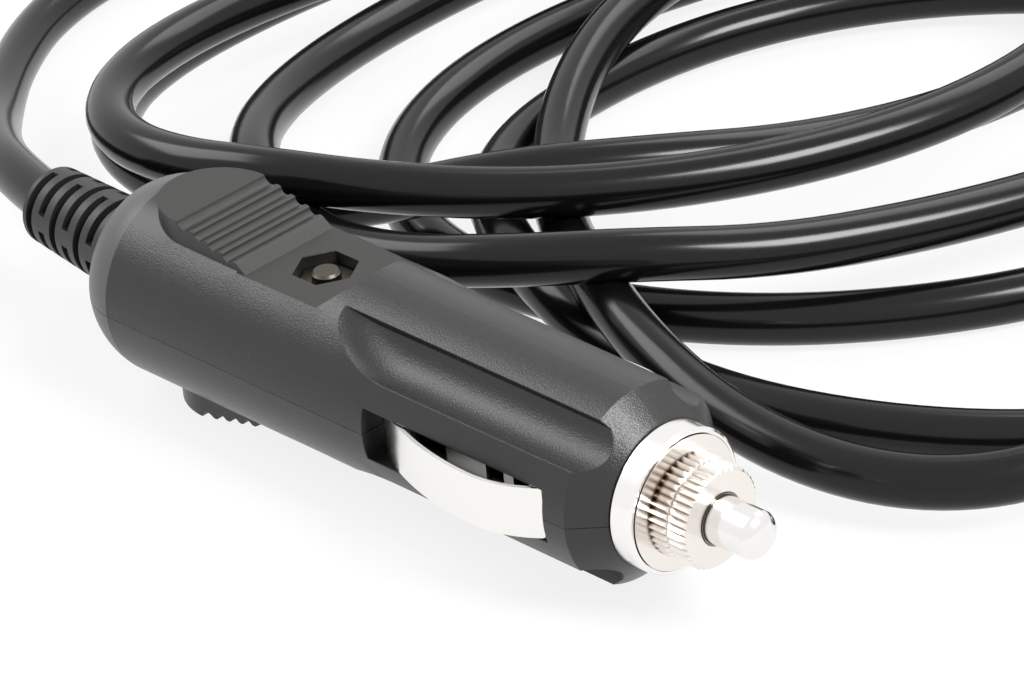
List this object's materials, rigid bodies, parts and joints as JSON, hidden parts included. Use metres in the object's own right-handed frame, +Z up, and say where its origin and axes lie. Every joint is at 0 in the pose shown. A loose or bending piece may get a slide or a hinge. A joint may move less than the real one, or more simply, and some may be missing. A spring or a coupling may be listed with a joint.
{
  "type": "cigarette lighter plug",
  "caption": "Fused vehicle power plug with sprung side contacts, knurled nose cap, slotted strain relief and a round cable to a barrel plug.",
  "frame": {"origin": "on the floor under the middle of the plug, half way between the centre contact's tip and the strain relief's free end", "axes": "+X along the plug towards the centre contact, +Z up through the upper thumb pad, +Y to the side where the free cable lies"},
  "size_m": [0.1699, 0.163, 0.0228],
  "materials": {
    "shell_plastic": "fine-grained dark plastic",
    "bright_nickel": "bright nickel plate",
    "nickel_sheet": "bright nickel-plated sheet",
    "spring_steel": "plain drawn wire",
    "screw_steel": "zinc plate",
    "fuse_glass": "clear glass",
    "sleeve_plastic": "plain moulded",
    "brass": "plain",
    "relief_rubber": "matte moulded",
    "cable_jacket": "smooth extruded",
    "wire_red": "smooth insulation",
    "wire_black": "smooth insulation",
    "plug_moulding": "moulded"
  },
  "bodies": {
    "housing": {"upper_shell": "shell_plastic", "lower_shell": "shell_plastic", "nose_collar": "bright_nickel", "contact_spring": "spring_steel", "fuse_front_cap": "bright_nickel", "fuse_glass": "fuse_glass", "fuse_element": "spring_steel", "fuse_rear_cap": "bright_nickel", "fuse_sleeve": "sleeve_plastic", "rear_terminal": "brass", "contact_strip": "nickel_sheet", "clamp_screw": "screw_steel", "hex_nut": "screw_steel", "strain_relief": "relief_rubber", "cable_end": "cable_jacket", "positive_wire": "wire_red", "negative_wire": "wire_black", "cord_lead": "cable_jacket", "cord_coil": "cable_jacket", "cord_tail": "cable_jacket", "dc_plug_body": "plug_moulding", "dc_plug_barrel": "bright_nickel", "dc_plug_liner": "sleeve_plastic", "dc_plug_contact": "bright_nickel"},
    "cap": {"knurled_cap": "bright_nickel"},
    "contact": {"centre_contact": "bright_nickel"},
    "left_leaf": {"side_contact_left": "nickel_sheet"},
    "right_leaf": {"side_contact_right": "nickel_sheet"}
  },
  "joints": [
    {"name": "contact_push", "type": "slide", "parent": "housing", "child": "contact", "axis": [-1, 0, 0], "range_m": [0, 0.0035], "stiffness_N_per_m": 1200, "springref_m": -0.001, "deforming": ["contact_spring"]},
    {"name": "left_leaf_press", "type": "slide", "parent": "housing", "child": "left_leaf", "axis": [0, -1, 0], "range_m": [0, 0.0014], "stiffness_N_per_m": 3000, "springref_m": -0.0003},
    {"name": "right_leaf_press", "type": "slide", "parent": "housing", "child": "right_leaf", "axis": [0, 1, 0], "range_m": [0, 0.0014], "stiffness_N_per_m": 3000, "springref_m": -0.0003},
    {"name": "cap_turn", "type": "hinge", "parent": "housing", "child": "cap", "pos_m": [0.03877, 0, 0.0114], "axis": [1, 0, 0], "continuous": true}
  ]
}
